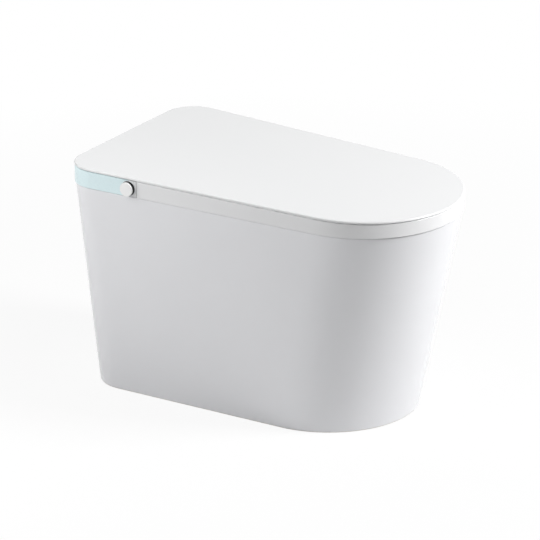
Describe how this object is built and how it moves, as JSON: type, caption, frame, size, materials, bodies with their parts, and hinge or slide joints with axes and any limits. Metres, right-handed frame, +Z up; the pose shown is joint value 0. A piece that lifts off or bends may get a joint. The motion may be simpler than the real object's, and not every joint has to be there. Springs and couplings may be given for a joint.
{
  "type": "bidet toilet",
  "caption": "Floor-standing bidet toilet with a tapered glazed skirt, thin full-length lid, heated seat, side knob, sliding spray nozzles and warm-air dryer.",
  "frame": {"origin": "middle of the footprint, on the floor", "axes": "+Z up, -Y the front, -X the user's right"},
  "size_m": [0.3917, 0.6795, 0.4104],
  "materials": {
    "glazed_ceramic": "glossy vitreous glaze",
    "lid_white": "polished moulding",
    "seat_white": "polished moulding",
    "housing_white": "polished moulding",
    "pale_blue_trim": "satin moulding",
    "knob_white": "polished moulding",
    "knob_chrome": "polished plating",
    "dark_chrome": "dark polished plating",
    "grey_rubber": "matt",
    "white_hose": "matt silicone",
    "steel": "plain stainless",
    "motor_steel": "zinc plated",
    "chassis_grey": "moulded, fine grain",
    "black_plastic": "moulded, fine grain",
    "wash_white": "moulded",
    "gear_nylon": "moulded nylon",
    "brass": "cast and turned",
    "foil": "rolled foil",
    "board_green": "solder mask"
  },
  "bodies": {
    "toilet": {"ceramic_skirt": "glazed_ceramic", "ceramic_deck": "glazed_ceramic", "ceramic_bowl": "glazed_ceramic", "ceramic_trap": "glazed_ceramic", "outlet_gasket": "grey_rubber", "floor_brackets": "chassis_grey", "screws": "steel", "chassis": "chassis_grey", "wash_tub": "chassis_grey", "rear_panel": "chassis_grey", "rear_cover": "housing_white", "side_pod_left": "housing_white", "side_pod_right": "housing_white", "trim_left": "pale_blue_trim", "trim_right": "pale_blue_trim", "hinge_brackets": "chassis_grey", "hinge_pins": "steel", "hinge_dampers": "black_plastic", "knob_bezel": "knob_chrome", "knob_encoder": "black_plastic", "nozzle_guide": "wash_white", "nozzle_motors": "motor_steel", "fan_housing": "black_plastic", "fan_cover": "black_plastic", "fan_motor": "motor_steel", "dryer_duct": "wash_white", "dryer_heater": "foil", "inlet_nipple": "brass", "inlet_valve": "brass", "valve_solenoid": "motor_steel", "heater_tank": "wash_white", "tank_cap": "wash_white", "heating_element": "steel", "water_pump": "wash_white", "diverter_valve": "wash_white", "supply_hose": "white_hose", "hot_water_hose": "white_hose", "spray_hose": "white_hose", "flush_valve": "brass", "flush_spout": "wash_white", "control_board": "board_green", "power_box": "black_plastic", "cord_gland": "grey_rubber"},
    "seat": {"seat_upper": "seat_white", "seat_lower": "seat_white", "seat_heater": "foil", "seat_bumpers": "grey_rubber"},
    "lid": {"lid": "lid_white", "lid_bumpers": "grey_rubber"},
    "knob_stem": {"knob_shaft": "steel"},
    "knob": {"knob_ring": "dark_chrome", "knob_cap": "knob_white"},
    "rear_wand": {"rear_nozzle": "wash_white", "rear_nozzle_tip": "wash_white"},
    "front_wand": {"front_nozzle": "wash_white", "front_nozzle_tip": "wash_white"},
    "rear_drive": {"rear_pinion": "gear_nylon"},
    "front_drive": {"front_pinion": "gear_nylon"},
    "fan": {"fan_impeller": "black_plastic"},
    "flap": {"dryer_flap": "wash_white"}
  },
  "joints": [
    {"name": "seat_hinge", "type": "hinge", "parent": "toilet", "child": "seat", "pos_m": [0, 0.334, 0.3925], "axis": [-1, 0, 0], "range_deg": [0, 90]},
    {"name": "lid_hinge", "type": "hinge", "parent": "seat", "child": "lid", "pos_m": [0, 0.334, 0.3925], "axis": [-1, 0, 0], "range_deg": [0, 95]},
    {"name": "knob_press", "type": "slide", "parent": "toilet", "child": "knob_stem", "axis": [1, 0, 0], "range_m": [0, 0.0025], "stiffness_N_per_m": 900},
    {"name": "knob_turn", "type": "hinge", "parent": "knob_stem", "child": "knob", "pos_m": [-0.19, 0.193, 0.3897], "axis": [-1, 0, 0], "continuous": true},
    {"name": "rear_nozzle_slide", "type": "slide", "parent": "toilet", "child": "rear_wand", "axis": [0, -0.9272, -0.3746], "range_m": [0, 0.095]},
    {"name": "front_nozzle_slide", "type": "slide", "parent": "toilet", "child": "front_wand", "axis": [0, -0.9272, -0.3746], "range_m": [0, 0.095]},
    {"name": "rear_pinion_spin", "type": "hinge", "parent": "toilet", "child": "rear_drive", "pos_m": [-0.013, 0.11046, 0.35133], "axis": [1, 0, 0], "range_deg": [-910, 5]},
    {"name": "front_pinion_spin", "type": "hinge", "parent": "toilet", "child": "front_drive", "pos_m": [0.013, 0.11046, 0.35133], "axis": [1, 0, 0], "range_deg": [-910, 5]},
    {"name": "fan_spin", "type": "hinge", "parent": "toilet", "child": "fan", "pos_m": [0.054, 0.18, 0.308], "axis": [0, 0, 1], "continuous": true},
    {"name": "flap_hinge", "type": "hinge", "parent": "toilet", "child": "flap", "pos_m": [0.054, 0.0228, 0.3204], "axis": [-1, 0, 0], "range_deg": [0, 75]}
  ],
  "couplings": [
    {"joint": "rear_pinion_spin", "follows": "rear_nozzle_slide", "rad_per_m": -166.67},
    {"joint": "front_pinion_spin", "follows": "front_nozzle_slide", "rad_per_m": -166.67}
  ]
}
